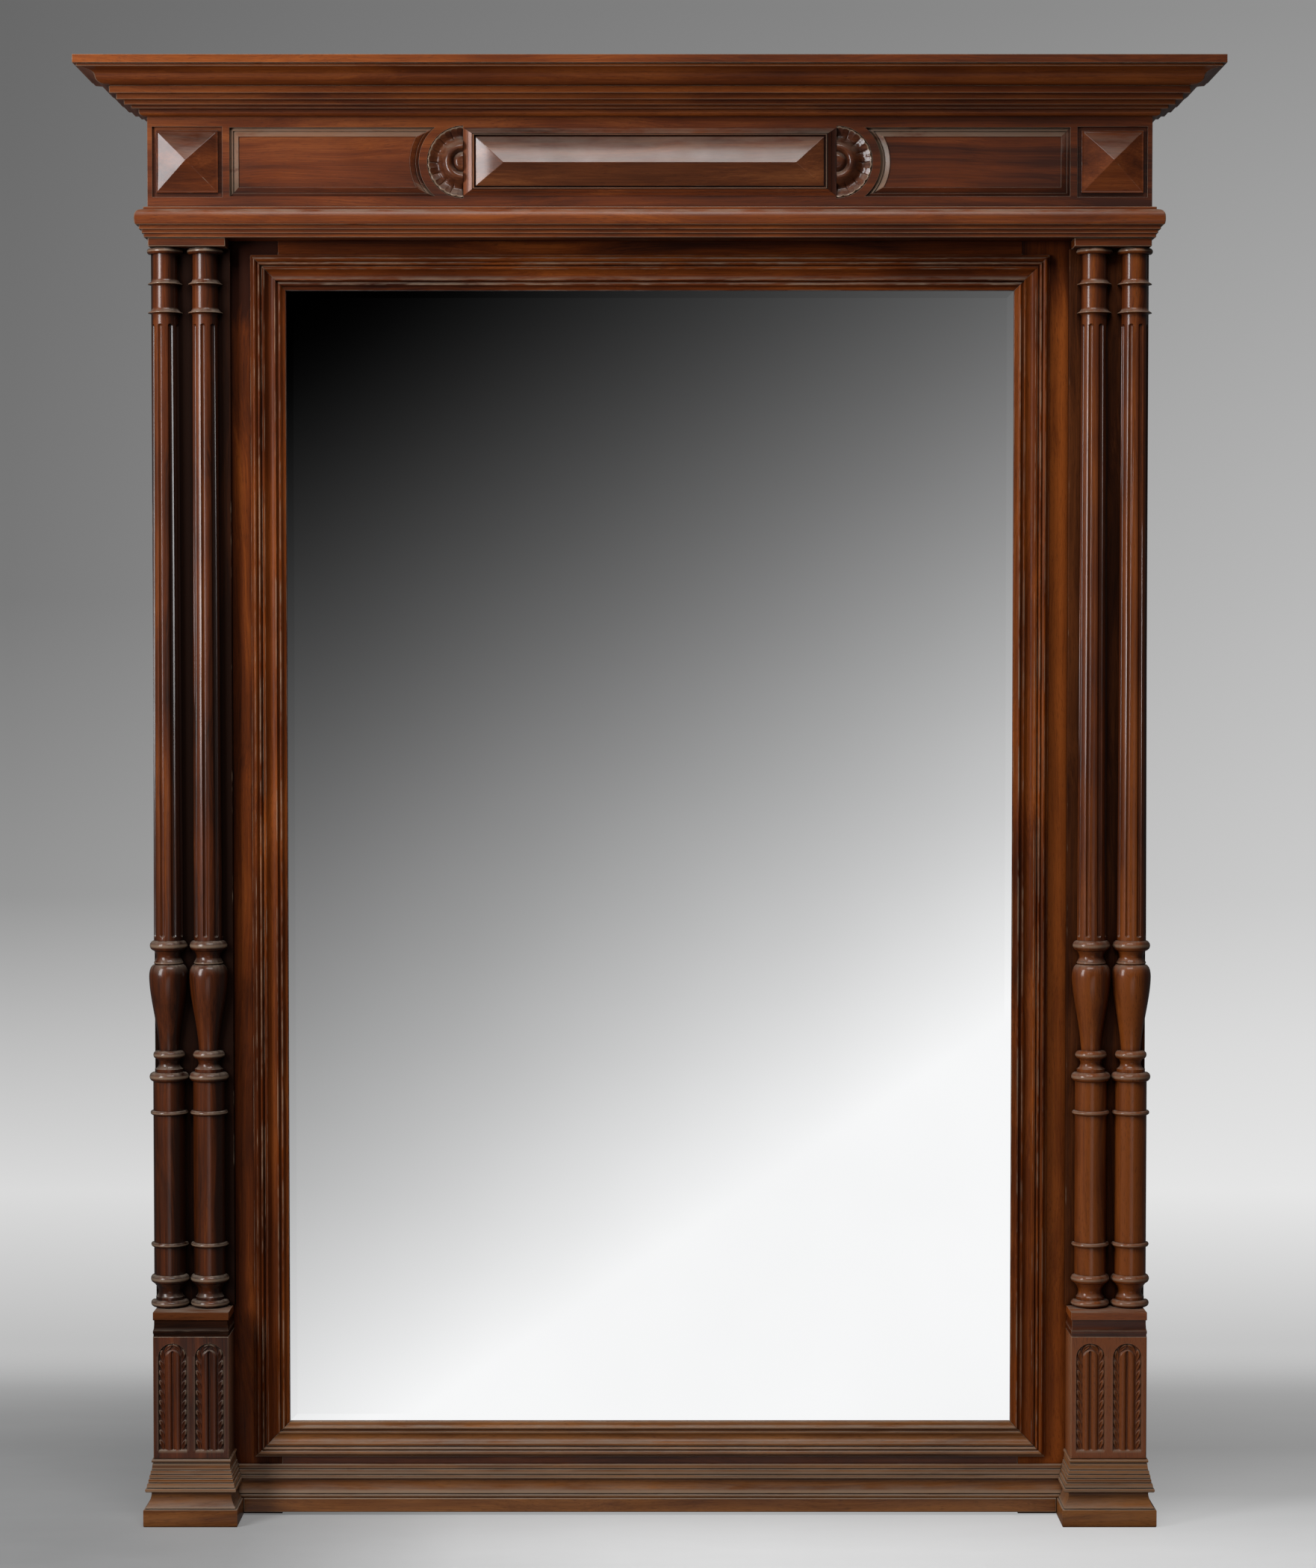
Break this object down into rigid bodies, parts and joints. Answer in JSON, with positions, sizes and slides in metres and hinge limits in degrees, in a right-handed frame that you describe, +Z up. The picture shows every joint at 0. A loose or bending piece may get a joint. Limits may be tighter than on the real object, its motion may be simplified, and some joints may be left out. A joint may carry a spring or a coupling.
{
  "type": "overmantel mirror",
  "caption": "Carved walnut overmantel mirror: bevelled plate between paired split-turned columns on arcaded pedestals, under a frieze with faceted bosses and a stepped cornice.",
  "frame": {"origin": "middle of the base: level with the undersides of the plinths, midway between the sides and between the back plane and the front of the cornice", "axes": "+Z up, front faces -Y, back plane faces +Y, +X to the viewer's right"},
  "size_m": [1.39, 0.143, 1.8043],
  "materials": {
    "walnut": "dark reddish-brown walnut, waxed to a soft gloss, with worn paler edges",
    "carved_walnut": "turned and carved walnut, waxed, with darkened hollows",
    "mirror": "silvered plate glass with a ground bevel",
    "softwood": "raw aged softwood, sawn and planed",
    "iron": "dull rusted wire nail"
  },
  "bodies": {
    "root": {"top_board": "walnut", "crown_front": "walnut", "crown_left": "walnut", "crown_right": "walnut", "bed_moulding_front": "walnut", "bed_moulding_left": "walnut", "bed_moulding_right": "walnut", "frieze_board": "walnut", "frieze_return_left": "walnut", "frieze_return_right": "walnut", "frieze_soffit": "walnut", "corner_boss_left": "walnut", "corner_boss_right": "walnut", "centre_boss": "walnut", "boss_surround_top": "walnut", "boss_surround_bottom": "walnut", "boss_surround_left": "walnut", "boss_surround_right": "walnut", "architrave_front": "walnut", "architrave_left": "walnut", "architrave_right": "walnut", "abacus_left": "walnut", "abacus_right": "walnut", "top_rail": "walnut", "bottom_rail": "walnut", "stile_left": "walnut", "stile_right": "walnut", "sight_moulding_top": "walnut", "sight_moulding_bottom": "walnut", "sight_moulding_left": "walnut", "sight_moulding_right": "walnut", "pilaster_left": "walnut", "pilaster_right": "walnut", "plinth_left": "walnut", "plinth_right": "walnut", "pedestal_cap_left": "walnut", "pedestal_cap_right": "walnut", "rail_plinth": "walnut", "rail_base_moulding": "walnut", "rosette_left": "carved_walnut", "rosette_right": "carved_walnut", "pedestal_left": "carved_walnut", "pedestal_right": "carved_walnut", "column_left_outer": "carved_walnut", "column_left_inner": "carved_walnut", "column_right_inner": "carved_walnut", "column_right_outer": "carved_walnut", "mirror_glass": "mirror", "glass_stop_top": "softwood", "glass_stop_bottom": "softwood", "glass_stop_left": "softwood", "glass_stop_right": "softwood", "back_plank_1": "softwood", "back_plank_2": "softwood", "back_plank_3": "softwood", "back_plank_4": "softwood", "bent_nail_left": "iron", "bent_nail_middle": "iron", "bent_nail_right": "iron"}
  },
  "joints": []
}
